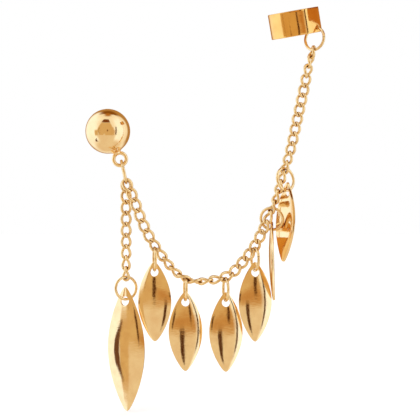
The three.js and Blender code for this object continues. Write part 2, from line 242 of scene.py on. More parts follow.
# %% Skins, meshes and dressing
def skin(sections, round_trip=False):
    """A mesh over loops of points. The run of loops closes on itself, or ends in caps."""
    shape = bmesh.new()
    rows = [[shape.verts.new(point) for point in section] for section in sections]
    following = rows[1:] + rows[:1] if round_trip else rows[1:]
    for row, after in zip(rows, following):
        for a, b, c, d in zip(row, row[1:] + row[:1], after[1:] + after[:1], after):
            shape.faces.new((a, b, c, d))
    if not round_trip:
        shape.faces.new(rows[0])
        shape.faces.new(rows[-1])
    bmesh.ops.recalc_face_normals(shape, faces=shape.faces)
    mesh = bpy.data.meshes.new("skin")
    shape.to_mesh(mesh)
    shape.free()
    return mesh


def as_object(name, mesh):
    piece = bpy.data.objects.new(name, mesh)
    bpy.context.collection.objects.link(piece)
    return piece


def make_plain(piece, sharp_over=40):
    """Swaps a piece's modifiers for the mesh they make, smooth but for edges over an angle."""
    seen = piece.evaluated_get(bpy.context.evaluated_depsgraph_get())
    mesh = bpy.data.meshes.new_from_object(seen)
    piece.modifiers.clear()
    piece.data = mesh
    mesh.shade_smooth()
    mesh.set_sharp_from_angle(angle=math.radians(sharp_over))
    return mesh


def cut(piece, tool, way):
    """Joins a tool solid to a piece, or takes it away, with Blender's exact solver."""
    change = piece.modifiers.new(way, "BOOLEAN")
    change.operation = way
    change.solver = "EXACT"
    change.object = tool
    make_plain(piece)
    bpy.data.objects.remove(tool)


def dress(piece, body, slot, *nodes):
    """Puts a finished piece on its body and hides the CAD nodes that it stands for. slot is not used."""
    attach(piece, body)
    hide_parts(*nodes)
    faces = len(piece.data.polygons)
    print(f"{piece.name}: {faces} faces, stands for {', '.join(nodes)}")


# %% [markdown]
# ## Where the rings hang
# Each jump ring is a centre, the way down to its lowest point, and the way its wire runs there. The CAD
# nodes give the centres, because the middle of a ring's box is the middle of the ring. Turns are
# in degrees from facing the viewer.

# %% Where the rings hang
RING_RADIUS = 2 * MM
RING_WIRE = 0.25 * MM
UP = Vector((0, 0, 1))


def level_way(degrees):
    return Vector((math.cos(math.radians(degrees)), math.sin(math.radians(degrees)), 0))


def leaning(degrees):
    """A way in the picture's plane, turned from straight down towards +X."""
    return Vector((math.sin(math.radians(degrees)), 0, -math.cos(math.radians(degrees))))


def ring_at(node, down, along, cut_at):
    """cut_at says where the ring's wire was cut, in degrees round from its lowest point."""
    low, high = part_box(node)
    along = (along - down * along.dot(down)).normalized()
    return {"node": node, "centre": (low + high) / 2, "down": down, "along": along, "cut_at": cut_at}


def ring_bottom(ring, beside=0.0):
    """A point on the ring's wire, its lowest one or one beside it."""
    angle = math.asin(beside / RING_RADIUS)
    reach = ring["down"] * math.cos(angle) + ring["along"] * math.sin(angle)
    return ring["centre"] + reach * RING_RADIUS


BAND_LEAN_FRONT = 8.5  # degrees, its top towards the viewer
BAND_LEAN_LEFT = 9.9  # degrees, its top towards -X
BAND_HOLE_TURN = 51  # degrees round the band from its front, towards +X
lean_front = Matrix.Rotation(math.radians(BAND_LEAN_FRONT), 4, "X")
lean_left = Matrix.Rotation(math.radians(-BAND_LEAN_LEFT), 4, "Y")
band_turn = lean_front @ lean_left
band_hole_way = level_way(BAND_HOLE_TURN - 90)

stud_ring = ring_at("stud_ring", leaning(12.5), level_way(95.5), cut_at=160)
cuff_ring = ring_at("cuff_ring", leaning(-7.6), band_turn @ band_hole_way, cut_at=100)
drop_ring = ring_at("drop_ring", -UP, level_way(28), cut_at=120)

# Ring turn, ring pitch (bottom away from the viewer), leaf turn, leaf lean (tip towards -X)
SMALL_DROPS = [
    (98, 0, -9, -0.5),
    (97, 0, 8, 0),
    (102, 0, 10, 0),
    (107, 0, 12, 0),
    (-16, 14, -94, -1.5),
    (41, -9, 118, 3),
]
leaf_rings = []
for number, (turn, pitch, _, _) in enumerate(SMALL_DROPS, start=1):
    along = level_way(turn)
    down = Matrix.Rotation(math.radians(pitch), 3, along) @ -UP
    cut_at = 95 + 40 * number  # on every ring the cut faces another way
    leaf_rings.append(ring_at(f"leaf_ring_{number}", down, along, cut_at))
rings = [stud_ring, cuff_ring, drop_ring, *leaf_rings]
print(len(rings), "rings, the lowest at Z", round(min(r["centre"].z for r in rings) / MM, 1), "mm")

# %% [markdown]
# ## Points that carry values
# A Geometry Nodes tree that repeats a piece starts from a cloud of points. Each point stores what its
# copy needs, such as its turn or its length, as a named attribute. These two helpers make such a
# cloud, and run a tree on it with its sizes set by name.

# %% Points that carry values
def point_cloud(name, points, **values):
    """Loose points with a named value each: a number or a vector."""
    mesh = bpy.data.meshes.new(name)
    mesh.from_pydata(points, [], [])
    for key, column in values.items():
        if isinstance(column[0], Vector):
            layer = mesh.attributes.new(key, "FLOAT_VECTOR", "POINT")
            layer.data.foreach_set("vector", [part for value in column for part in value])
        else:
            layer = mesh.attributes.new(key, "FLOAT", "POINT")
            layer.data.foreach_set("value", column)
    return as_object(name, mesh)


def new_tree(name, **sizes):
    """A Geometry Nodes group with a geometry socket, a material and one named input for each size."""
    tree = bpy.data.node_groups.new(name, "GeometryNodeTree")
    tree.interface.new_socket("Geometry", in_out="INPUT", socket_type="NodeSocketGeometry")
    tree.interface.new_socket("Finish", in_out="INPUT", socket_type="NodeSocketMaterial")
    for key, value in sizes.items():
        kind = "NodeSocketInt" if isinstance(value, int) else "NodeSocketFloat"
        socket = tree.interface.new_socket(key, in_out="INPUT", socket_type=kind)
        socket.default_value = value
    tree.interface.new_socket("Geometry", in_out="OUTPUT", socket_type="NodeSocketGeometry")
    return tree, add(tree, "NodeGroupInput").outputs


def run_tree(piece, tree, finish, **sizes):
    """Gives a piece the tree as a modifier, with the finish and sizes set by socket identifier."""
    nodes = piece.modifiers.new(tree.name, "NODES")
    nodes.node_group = tree
    for socket in tree.interface.items_tree:
        if socket.in_out == "INPUT" and socket.name == "Finish":
            nodes[socket.identifier] = finish
        elif socket.in_out == "INPUT" and socket.name in sizes:
            nodes[socket.identifier] = sizes[socket.name]


# %% [markdown]
# ## Chains
# A curb chain is made of oval links, each twisted by nearly a quarter turn about its length so that it
# lies flat against the next. Drawing one link and copying it would squash its wire wherever the chain
# is tighter. So the tree copies a plain circle to each link's place, and then sets every point of it
# by rule: along the run by a cosine, across it by a sine, and turned by how far along it is. A tube
# of the wire's own thickness goes round the result.

# %% The tree that makes a chain
LINK_WIRE = 0.262 * MM  # the wire's radius
LINK_HALF_WIDTH = 0.785 * MM  # to the wire's middle line
LINK_TWIST = math.radians(85)  # from end to end

chain_tree, asked = new_tree(
    "Twisted links", Wire=LINK_WIRE, Half_Width=LINK_HALF_WIDTH, Twist=LINK_TWIST, Steps=60, Sides=14
)
circle = add(chain_tree, "GeometryNodeCurvePrimitiveCircle", asked["Steps"])
copies = add(chain_tree, "GeometryNodeInstanceOnPoints", {"Points": asked[0], "Instance": circle})
wires = add(chain_tree, "GeometryNodeRealizeInstances", copies)
stored = {
    key: add(chain_tree, "GeometryNodeInputNamedAttribute", {"Name": key}, data_type=kind).outputs[0]
    for key, kind in {
        "middle": "FLOAT_VECTOR",
        "run": "FLOAT_VECTOR",
        "first": "FLOAT_VECTOR",
        "second": "FLOAT_VECTOR",
        "half_length": "FLOAT",
        "roll": "FLOAT",
    }.items()
}
print("each link's place is stored as", ", ".join(stored))

# %% [markdown]
# ### Bending the circles into links
# A point's number tells its link and how far round the link it lies. From that share come the cosine and
# the sine, the twist at that spot, and the point's reach along each of the link's three directions.

# %% Bending the circles into links
index = add(chain_tree, "GeometryNodeInputIndex")
on_link = add(chain_tree, "ShaderNodeMath", index, asked["Steps"], operation="MODULO")
share = add(chain_tree, "ShaderNodeMath", on_link, asked["Steps"], operation="DIVIDE")
angle = add(chain_tree, "ShaderNodeMath", share, math.tau, operation="MULTIPLY")
cosine = add(chain_tree, "ShaderNodeMath", angle, operation="COSINE")
sine = add(chain_tree, "ShaderNodeMath", angle, operation="SINE")
half_twist = add(chain_tree, "ShaderNodeMath", asked["Twist"], 0.5, operation="MULTIPLY")
turn = add(chain_tree, "ShaderNodeMath", cosine, half_twist, stored["roll"], operation="MULTIPLY_ADD")
width = add(chain_tree, "ShaderNodeMath", sine, asked["Half_Width"], operation="MULTIPLY")
turn_cosine = add(chain_tree, "ShaderNodeMath", turn, operation="COSINE")
turn_sine = add(chain_tree, "ShaderNodeMath", turn, operation="SINE")
along_run = add(chain_tree, "ShaderNodeMath", cosine, stored["half_length"], operation="MULTIPLY")
across_first = add(chain_tree, "ShaderNodeMath", width, turn_cosine, operation="MULTIPLY")
across_second = add(chain_tree, "ShaderNodeMath", width, turn_sine, operation="MULTIPLY")
spot = stored["middle"]
for way, reach in (("run", along_run), ("first", across_first), ("second", across_second)):
    step = add(chain_tree, "ShaderNodeVectorMath", {0: stored[way], "Scale": reach}, operation="SCALE")
    spot = add(chain_tree, "ShaderNodeVectorMath", spot, step, operation="ADD")
bent = add(chain_tree, "GeometryNodeSetPosition", {"Geometry": wires, "Position": spot})
section = add(chain_tree, "GeometryNodeCurvePrimitiveCircle", asked["Sides"], asked["Wire"])
tubes = add(chain_tree, "GeometryNodeCurveToMesh", {"Curve": bent, "Profile Curve": section})
smooth = add(chain_tree, "GeometryNodeSetShadeSmooth", tubes)
whole = add(chain_tree, "GeometryNodeRealizeInstances", smooth)
painted = add(chain_tree, "GeometryNodeSetMaterial", {"Geometry": whole, "Material": asked["Finish"]})
add(chain_tree, "NodeGroupOutput", painted)
print("chain tree has", len(chain_tree.nodes), "nodes")

# %% [markdown]
# ### The run of a chain
# The long chain follows a smooth curve through chosen points, written here as X and Z in mm. The links
# are stepped along it, a little farther apart beside the stud, where the chain is taut. The right
# pitch is found by halving: too long a pitch runs off the end, too short a one stops before it.
# A table also says how far each link is rolled, because a hanging curb chain turns slowly.

# %% The run of a chain
LONG_CHAIN_ROUTE = [
    (4.57, -11.79), (5.89, -15.55), (7.63, -19.23), (9.96, -22.59), (12.2, -25.25), (14.75, -26.79),
    (18.23, -26.66), (21.61, -25.89), (24.07, -23.45), (26.41, -20.38), (27.98, -17.09),
    (29.45, -13.82), (31.11, -8.41), (32.68, -3.3), (33.88, 2.16), (35.09, 7.66), (35.84, 11.3),
]
LONG_CHAIN_STRETCH = [
    (0, 1.05), (13, 1.05), (15, 0.99), (18, 0.99), (20, 1.03), (23, 1.03), (25, 0.94), (38, 0.935)
]
LONG_CHAIN_ROLL = [
    (0, 20), (3, 0), (5, 0), (7, -35), (9, -58), (10, -62), (11, -88), (13, -125), (14, -155),
    (16, -180), (19, -180), (20, -150), (22, -102), (24, -120), (26, -125), (28, -150), (31, -180),
    (34, -180), (35, -200), (36, -226), (37, -252), (38, -280),
]
SHORT_CHAIN_ROLL = [(0, 12), (6, -25), (8, -62)]
LONG_CHAIN_LINKS = 39
SHORT_CHAIN_LINKS = 9
SHORT_CHAIN_PITCH = 1.99 * MM
CHAIN_SPREAD = 1.1 * MM  # between the two chains on the stud ring
END_STEP = -0.48 * MM  # from a ring's wire back to where a chain's first link starts
LONGEST_PITCH = 5 * MM  # surely too long, so the halving starts from it
HALVINGS = 30
print(LONG_CHAIN_LINKS, "links follow the route,", SHORT_CHAIN_LINKS, "links hang straight")

# %% [markdown]
# ### Stepping along the run
# Three small functions do it: one reads a table between its rows, one draws the smooth curve, and one walks
# along it link by link.

# %% Stepping along the run
def from_table(table, number):
    """A value between the rows of a table of (number, value)."""
    if number <= table[0][0]:
        return table[0][1]
    for (n0, v0), (n1, v1) in zip(table, table[1:]):
        if number <= n1:
            return v0 + (v1 - v0) * (number - n0) / (n1 - n0)
    return table[-1][1]


def smooth_route(knots, steps=120):
    """Points along a centripetal Catmull-Rom curve through the knots."""
    ends = [2 * knots[0] - knots[1], *knots, 2 * knots[-1] - knots[-2]]
    points = []
    for p0, p1, p2, p3 in zip(ends, ends[1:], ends[2:], ends[3:]):
        d0, d1, d2 = (math.sqrt((b - a).length) for a, b in ((p0, p1), (p1, p2), (p2, p3)))
        out = ((p1 - p0) / d0 - (p2 - p0) / (d0 + d1) + (p2 - p1) / d1) * d1
        into = ((p2 - p1) / d1 - (p3 - p1) / (d1 + d2) + (p3 - p2) / d2) * d1
        for k in range(steps):
            t = k / steps
            blend = p1 * (2 * t**3 - 3 * t**2 + 1) + out * (t**3 - 2 * t**2 + t)
            points.append(blend + p2 * (3 * t**2 - 2 * t**3) + into * (t**3 - t**2))
    return [*points, knots[-1]]


def link_ends(points, count, stretch):
    """Where neighbouring links meet, with the last one on the route's end."""

    def walk(pitch):
        ends, at = [points[0]], 0
        while len(ends) <= count:
            reach = pitch * from_table(stretch, len(ends) - 1)
            while at < len(points) and (points[at] - ends[-1]).length < reach:
                at += 1
            if at == len(points):
                return None
            ends.append(ends[-1] + (points[at] - ends[-1]).normalized() * reach)
        return ends

    low, high = 0.0, LONGEST_PITCH
    for _ in range(HALVINGS):
        pitch = (low + high) / 2
        low, high = (low, pitch) if walk(pitch) is None else (pitch, high)
    return walk(low)


# %% [markdown]
# ### Laying the links
# Between two meeting points a link lies with its own three directions: the run, the way to the viewer's
# far side squared up to it, and the one across both. The ends reach past the meeting points by about
# the wire's radius, so that neighbours hook through each other and bear on each other's wire.

# %% Laying the links
LINK_BITE = 0.06 * MM  # how far the wires press into each other where links cross
END_SLACK = 0.15 * MM  # taken out of the end links, so that they bear on their rings
BACK = Vector((0, 1, 0))


def lay_chain(name, ends, roll_table, node):
    """Makes a chain of links between the meeting points."""
    middles, runs, firsts, seconds, halves, rolls = [], [], [], [], [], []
    ends = list(ends)
    ends[0] += (ends[1] - ends[0]).normalized() * END_SLACK
    ends[-1] += (ends[-2] - ends[-1]).normalized() * END_SLACK
    for number, (a, b) in enumerate(zip(ends, ends[1:])):
        run = (b - a).normalized()
        second = (BACK - run * BACK.dot(run)).normalized()
        middles.append((a + b) / 2)
        runs.append(run)
        seconds.append(second)
        firsts.append(run.cross(second))
        halves.append((b - a).length / 2 + LINK_WIRE - LINK_BITE / 2)
        rolls.append(math.radians(from_table(roll_table, number)))
    chain = point_cloud(
        name, middles, middle=middles, run=runs, first=firsts, second=seconds, half_length=halves, roll=rolls
    )
    run_tree(chain, chain_tree, wire_gold)
    make_plain(chain, sharp_over=80)
    dress(chain, "ear_cuff", "gold_wire", node)
    print(len(middles), "links, first pitch", round((ends[1] - ends[0]).length / MM, 2), "mm")


long_start = ring_bottom(stud_ring, -CHAIN_SPREAD / 2)
long_end = ring_bottom(cuff_ring)
knots = [Vector((x * MM, CHAIN_DEPTH, z * MM)) for x, z in LONG_CHAIN_ROUTE]
knots.insert(0, long_start + (knots[0] - long_start).normalized() * END_STEP)
knots.append(long_end + (knots[-1] - long_end).normalized() * END_STEP)
long_ends = link_ends(smooth_route(knots), LONG_CHAIN_LINKS, LONG_CHAIN_STRETCH)
lay_chain("long_curb_chain", long_ends, LONG_CHAIN_ROLL, "main_chain")

short_start = ring_bottom(stud_ring, CHAIN_SPREAD / 2) - UP * END_STEP
short_ends = [short_start - UP * SHORT_CHAIN_PITCH * i for i in range(SHORT_CHAIN_LINKS + 1)]
lay_chain("short_curb_chain", short_ends, SHORT_CHAIN_ROLL, "drop_chain")

# %% [markdown]
# ## Jump rings
# A jump ring is a turn of wire sawn off a coil, so it has a cut where it was opened and closed again. One
# arc of wire with flat ends is copied to every ring's centre and turned by the rotation that its
# point stores. All nine are of one size, which makes them a natural job for instances.

# %% Jump rings
RING_CUT = 1.6  # degrees left open at the cut

ring_tree, asked = new_tree("Jump rings", Radius=RING_RADIUS, Wire=RING_WIRE, Steps=110, Sides=20)
arc = add(
    ring_tree,
    "GeometryNodeCurveArc",
    {
        "Resolution": asked["Steps"],
        "Radius": asked["Radius"],
        "Start Angle": math.radians(RING_CUT / 2),
        "Sweep Angle": math.radians(360 - RING_CUT),
    },
)
section = add(ring_tree, "GeometryNodeCurvePrimitiveCircle", asked["Sides"], asked["Wire"])
wire = add(
    ring_tree, "GeometryNodeCurveToMesh", {"Curve": arc, "Profile Curve": section, "Fill Caps": True}
)
turned = add(ring_tree, "GeometryNodeInputNamedAttribute", {"Name": "turn"}, data_type="FLOAT_VECTOR")
rotation = add(ring_tree, "FunctionNodeEulerToRotation", turned)
copies = add(
    ring_tree,
    "GeometryNodeInstanceOnPoints",
    {"Points": asked[0], "Instance": wire, "Rotation": rotation},
)
whole = add(ring_tree, "GeometryNodeRealizeInstances", copies)
painted = add(ring_tree, "GeometryNodeSetMaterial", {"Geometry": whole, "Material": asked["Finish"]})
add(ring_tree, "NodeGroupOutput", painted)

turns = []
for ring in rings:
    flat = Matrix((ring["down"], ring["along"], ring["down"].cross(ring["along"]))).transposed()
    spun = flat @ Matrix.Rotation(math.radians(ring["cut_at"]), 3, "Z")
    turns.append(Vector(spun.to_euler()))
jump_rings = point_cloud("jump_rings", [ring["centre"] for ring in rings], turn=turns)
run_tree(jump_rings, ring_tree, wire_gold)
make_plain(jump_rings)
dress(jump_rings, "ear_cuff", "gold_wire", *[ring["node"] for ring in rings])

# %% [markdown]
# ## Leaves
# A leaf is stamped from thin sheet between two dies, which dish it and leave a soft crease down its
# middle. Its shape follows a rule, so a tree makes it: a sheet of quads is wrapped from the rim of
# the hole out to the leaf's outline, which keeps the hole perfectly round without any cutting.
# Then each point stands out by how far it lies from the leaf's ends and edges.

# %% The leaf's outline as a small group of its own
LEAF_FULLNESS = 0.8  # the power of a sine, and under 1 is fuller than a sine
POINT_REACH = 12.0  # how soon the blunt point is as wide as it gets

outline_tree = bpy.data.node_groups.new("Leaf outline", "GeometryNodeTree")
for key in ("Share", "Width", "Point"):
    outline_tree.interface.new_socket(key, in_out="INPUT", socket_type="NodeSocketFloat")
for key in ("Swell", "Half Width"):
    outline_tree.interface.new_socket(key, in_out="OUTPUT", socket_type="NodeSocketFloat")
asked = add(outline_tree, "NodeGroupInput").outputs
turned = add(outline_tree, "ShaderNodeMath", asked["Share"], math.pi, operation="MULTIPLY")
arch = add(outline_tree, "ShaderNodeMath", turned, operation="SINE")
arch = add(outline_tree, "ShaderNodeMath", arch, 0.0, operation="MAXIMUM")
swell = add(outline_tree, "ShaderNodeMath", arch, LEAF_FULLNESS, operation="POWER")
near_point = add(outline_tree, "ShaderNodeMath", swell, POINT_REACH, operation="MULTIPLY")
near_point = add(outline_tree, "ShaderNodeMath", near_point, 1.0, operation="MINIMUM")
blunt = add(outline_tree, "ShaderNodeMath", near_point, asked["Point"], operation="MULTIPLY")
body = add(outline_tree, "ShaderNodeMath", asked["Width"], asked["Point"], operation="SUBTRACT")
full = add(outline_tree, "ShaderNodeMath", swell, body, blunt, operation="MULTIPLY_ADD")
half = add(outline_tree, "ShaderNodeMath", full, 0.5, operation="MULTIPLY")
add(outline_tree, "NodeGroupOutput", swell, half)
print("outline group has", len(outline_tree.nodes), "nodes")

# %% [markdown]
# ### The flat sheet of a leaf
# A square grid is wrapped round the hole. One side of the grid runs round the leaf, the other runs out from
# the hole's rim to the outline, so the quads are small at the hole and follow the outline at the edge.

# %% The tree that makes a leaf
WELD = 0.0005 * MM  # joins the sheet's points where its ends meet

leaf_tree, asked = new_tree(
    "Dished leaf",
    Length=14.1 * MM,
    Width=5.9 * MM,
    Point=0.24 * MM,
    Dish=0.6 * MM,
    Crease=0.35,
    Hole_Radius=0.75 * MM,
    Hole_Drop=1.8 * MM,
    Dent=0.02 * MM,
    Seed=0.0,
    Round=192,
    Out=56,
)
sheet = add(leaf_tree, "GeometryNodeMeshGrid", 1.0, 1.0, asked["Round"], asked["Out"])
spread = add(leaf_tree, "ShaderNodeSeparateXYZ", add(leaf_tree, "GeometryNodeInputPosition"))
angle = add(leaf_tree, "ShaderNodeMath", spread.outputs[0], math.tau, math.pi, operation="MULTIPLY_ADD")
outward = add(leaf_tree, "ShaderNodeMath", spread.outputs[1], 0.5, operation="ADD")
cosine = add(leaf_tree, "ShaderNodeMath", angle, operation="COSINE")
share = add(leaf_tree, "ShaderNodeMath", cosine, -0.5, 0.5, operation="MULTIPLY_ADD")
outline = add(leaf_tree, "GeometryNodeGroup", node_tree=outline_tree)
for socket, value in zip(outline.inputs, (share.outputs[0], asked["Width"], asked["Point"])):
    leaf_tree.links.new(value, socket)
sine = add(leaf_tree, "ShaderNodeMath", angle, operation="SINE")
side = add(leaf_tree, "ShaderNodeMath", sine, operation="SIGN")
rim_x = add(leaf_tree, "ShaderNodeMath", outline.outputs[1], side, operation="MULTIPLY")
below = add(leaf_tree, "ShaderNodeMath", share, asked["Length"], operation="MULTIPLY")
rim_z = add(leaf_tree, "ShaderNodeMath", asked["Hole_Drop"], below, operation="SUBTRACT")
rim = add(leaf_tree, "ShaderNodeCombineXYZ", rim_x, 0.0, rim_z)
ray = add(leaf_tree, "ShaderNodeVectorMath", rim, operation="NORMALIZE")
hole = add(leaf_tree, "ShaderNodeVectorMath", {0: ray, "Scale": asked["Hole_Radius"]}, operation="SCALE")
spot = add(leaf_tree, "ShaderNodeMix", outward, hole, rim, data_type="VECTOR", clamp_factor=False)
flat = add(leaf_tree, "GeometryNodeSetPosition", {"Geometry": sheet, "Position": spot})
closed = add(leaf_tree, "GeometryNodeMergeByDistance", {"Geometry": flat, "Distance": WELD})
print("the flat sheet takes", len(leaf_tree.nodes), "nodes")

# %% [markdown]
# ### The dish of a leaf
# The second half of the tree dishes the flat sheet. Each point's share of the length and its place
# across give the height, and a slow noise adds the faint dents that stamping and tumbling leave, which
# break up the reflections just as on the real leaves.

# %% The dish of a leaf
THINNEST_HALF = 0.01 * MM  # keeps the points from dividing by nothing
MARGIN_POWER = 1.5  # over 1 leaves the middle flat and the margins steep
CREASE_SOFTNESS = 0.15
DENTS_IN_A_METRE = 420.0

placed = add(leaf_tree, "ShaderNodeSeparateXYZ", add(leaf_tree, "GeometryNodeInputPosition"))
below = add(leaf_tree, "ShaderNodeMath", asked["Hole_Drop"], placed.outputs[2], operation="SUBTRACT")
share = add(leaf_tree, "ShaderNodeMath", below, asked["Length"], operation="DIVIDE")
outline = add(leaf_tree, "GeometryNodeGroup", node_tree=outline_tree)
for socket, value in zip(outline.inputs, (share.outputs[0], asked["Width"], asked["Point"])):
    leaf_tree.links.new(value, socket)
safe_half = add(leaf_tree, "ShaderNodeMath", outline.outputs[1], THINNEST_HALF, operation="MAXIMUM")
across = add(leaf_tree, "ShaderNodeMath", placed.outputs[0], safe_half, operation="DIVIDE")
squared = add(leaf_tree, "ShaderNodeMath", across, across, operation="MULTIPLY")
squared = add(leaf_tree, "ShaderNodeMath", squared, 1.0, operation="MINIMUM")
steep = add(leaf_tree, "ShaderNodeMath", squared, MARGIN_POWER, operation="POWER")
dome = add(leaf_tree, "ShaderNodeMath", 1.0, steep, operation="SUBTRACT")
softened = add(leaf_tree, "ShaderNodeMath", squared, CREASE_SOFTNESS, operation="ADD")
slope = add(leaf_tree, "ShaderNodeMath", softened, operation="SQRT")
crease_top = math.sqrt(1 + CREASE_SOFTNESS)
ridge = add(leaf_tree, "ShaderNodeMath", crease_top, slope, operation="SUBTRACT")
profile = add(leaf_tree, "ShaderNodeMix", asked["Crease"], dome, ridge, data_type="FLOAT")
height = add(leaf_tree, "ShaderNodeMath", profile, outline.outputs[0], operation="MULTIPLY")
height = add(leaf_tree, "ShaderNodeMath", height, asked["Dish"], operation="MULTIPLY")
dents = add(
    leaf_tree,
    "ShaderNodeTexNoise",
    {"W": asked["Seed"], "Scale": DENTS_IN_A_METRE, "Detail": 1.0},
    noise_dimensions="4D",
)
dent = add(leaf_tree, "ShaderNodeMath", dents, asked["Dent"], height, operation="MULTIPLY_ADD")
forward = add(leaf_tree, "ShaderNodeMath", dent, -1.0, operation="MULTIPLY")
offset = add(leaf_tree, "ShaderNodeCombineXYZ", 0.0, forward, 0.0)
dished = add(leaf_tree, "GeometryNodeSetPosition", {"Geometry": closed, "Offset": offset})
whole = add(leaf_tree, "GeometryNodeRealizeInstances", dished)
painted = add(leaf_tree, "GeometryNodeSetMaterial", {"Geometry": whole, "Material": asked["Finish"]})
add(leaf_tree, "NodeGroupOutput", painted)
print("leaf tree has", len(leaf_tree.nodes), "nodes")

# %% [markdown]
# ### Hanging the leaves
# Solidify gives the sheet its thickness, and a small bevel rounds the rims, as tumbling does. Each leaf
# hangs by its hole on the lowest point of its ring. The small ones ride with the chain, and the
# big one hangs on a body of its own.

# %% Hanging the leaves
SHEET = 0.4 * MM
RIM_ROUND = 0.13 * MM


def hang_leaf(name, ring, turn, lean, body, node, seed, gap=0.14 * MM, hole_radius=0.75 * MM, **sizes):
    """gap is left between the ring's wire and the rim of the hole."""
    leaf = as_object(name, bpy.data.meshes.new(name))
    run_tree(leaf, leaf_tree, polished_gold, Hole_Radius=hole_radius, Seed=seed, **sizes)
    wall = leaf.modifiers.new("sheet", "SOLIDIFY")
    wall.thickness = SHEET
    wall.offset = 0
    rim = leaf.modifiers.new("rims", "BEVEL")
    rim.width = RIM_ROUND
    rim.segments = 3
    rim.angle_limit = math.radians(50)
    mesh = make_plain(leaf, sharp_over=50)
    drop = hole_radius - RING_WIRE - gap
    turned = Matrix.Rotation(math.radians(lean), 4, "Y") @ Matrix.Rotation(math.radians(turn), 4, "Z")
    mesh.transform(Matrix.Translation(ring_bottom(ring) - UP * drop) @ turned)
    dress(leaf, body, "polished_gold", node)


for number, ((_, _, turn, lean), ring) in enumerate(zip(SMALL_DROPS, leaf_rings), start=1):
    hang_leaf(f"small_leaf_{number}", ring, turn, lean, "ear_cuff", f"leaf_{number}", seed=float(number))
hang_leaf(
    "big_swinging_leaf",
    drop_ring,
    turn=-27,
    lean=-0.8,
    body="big_drop",
    node="big_leaf",
    seed=9.0,
    gap=0.32 * MM,
    hole_radius=0.85 * MM,
    Length=22.1 * MM,
    Width=7.5 * MM,
    Dish=0.9 * MM,
    Hole_Drop=2.4 * MM,
    Round=256,
    Out=80,
)

# %% [markdown]
# ## Ball stud
# The ball is a hollow bead with a post soldered into its back and a small wire eye soldered under it.
# A cube that is cut finely and puffed to a sphere has no poles, so its reflections stay clean from
# every side. The solder is a collar that flows out onto the ball and pinches in at the eye.

# %% The bead
BALL_RADIUS = 4 * MM
BALL_CENTRE = Vector((0, -BALL_RADIUS, 0))
BEAD_CUTS = 47

bead = bmesh.new()
bmesh.ops.create_cube(bead, size=2)
bmesh.ops.subdivide_edges(bead, edges=bead.edges, cuts=BEAD_CUTS, use_grid_fill=True)
for vert in bead.verts:
    vert.co = BALL_CENTRE + vert.co.normalized() * BALL_RADIUS
bead_mesh = bpy.data.meshes.new("bead")
bead.to_mesh(bead_mesh)
bead.free()
stud = as_object("ball_and_post", bead_mesh)
print("the bead has", len(bead_mesh.polygons), "faces")

# %% [markdown]
# ### Collar, post and eye
# All three are skins. The collar and the post are turned about an axis from a short outline, and the eye
# is a ring of wire below the ball.

# %% Collar, post and eye
EYE_WIRE = 0.325 * MM  # the wire's radius
EYE_RADIUS = 0.8 * MM + EYE_WIRE
EYE_STEPS = 72
EYE_SIDES = 20
COLLAR_SIDES = 48
COLLAR_PROFILE = [  # distance out from the ball and radius, in mm
    (-0.4, 1.25), (-0.16, 1.1), (-0.05, 0.94), (0.03, 0.8), (0.11, 0.69), (0.2, 0.61), (0.31, 0.55),
    (0.42, 0.52), (0.5, 0.5),
]
POST_PROFILE = [  # distance behind the ball and radius, in mm
    (-1.0, 0.4), (0.0, 0.4), (9.7, 0.4), (9.85, 0.36), (9.95, 0.27), (10.0, 0.14)
]
eye_way = leaning(23.5)
eye_centre = BALL_CENTRE + eye_way * (BALL_RADIUS + EYE_RADIUS + EYE_WIRE)


def loop(centre, axis, radius, sides=32):
    """Points round an axis."""
    first = axis.orthogonal().normalized()
    second = axis.cross(first).normalized()
    angles = [math.tau * i / sides for i in range(sides)]
    return [centre + (first * math.cos(a) + second * math.sin(a)) * radius for a in angles]


def turned_piece(start, axis, profile, sides=32):
    """A skin turned about an axis, from (distance along it, radius) pairs in mm."""
    return skin([loop(start + axis * along * MM, axis, radius * MM, sides) for along, radius in profile])


eye_sections = []
for i in range(EYE_STEPS):
    ray = Matrix.Rotation(math.tau * i / EYE_STEPS, 3, BACK) @ eye_way
    spots = [math.tau * j / EYE_SIDES for j in range(EYE_SIDES)]
    middle = eye_centre + ray * EYE_RADIUS
    eye_sections.append([middle + (ray * math.cos(s) + BACK * math.sin(s)) * EYE_WIRE for s in spots])
parts = {
    "collar": turned_piece(BALL_CENTRE + eye_way * BALL_RADIUS, eye_way, COLLAR_PROFILE, COLLAR_SIDES),
    "post": turned_piece(Vector((0, 0, 0)), BACK, POST_PROFILE),
    "eye": skin(eye_sections, round_trip=True),
}
print("soldered on:", ", ".join(parts))

# %% [markdown]
# ### Soldering the stud
# The parts are joined to the bead one by one, as solder would. Cutting leaves small faces round each
# joint, and smooth shading would smear them into dents. So we give the bead's own points the
# normals of the true sphere.

# %% Soldering the stud
ON_BEAD = 1e-4 * MM  # how near the sphere a point counts as on it

for name, mesh in parts.items():
    cut(stud, as_object(name, mesh), "UNION")
stud.data.materials.clear()
stud.data.materials.append(polished_gold)
normals = []
for vert in stud.data.vertices:
    out = vert.co - BALL_CENTRE
    on_bead = abs(out.length - BALL_RADIUS) < ON_BEAD
    normals.append(out.normalized() if on_bead else vert.normal.copy())
stud.data.normals_split_custom_set_from_vertices(normals)
dress(stud, "ear_cuff", "polished_gold", "ball_stud")

# %% [markdown]
# ## Ear nut
# A small turned nut is pushed over the post behind the lobe. It has a wide flange that rests on the
# skin, and a barrel that grips the post. We turn its outline about the post, with every edge
# rounded, because a sharp edge catches no light.

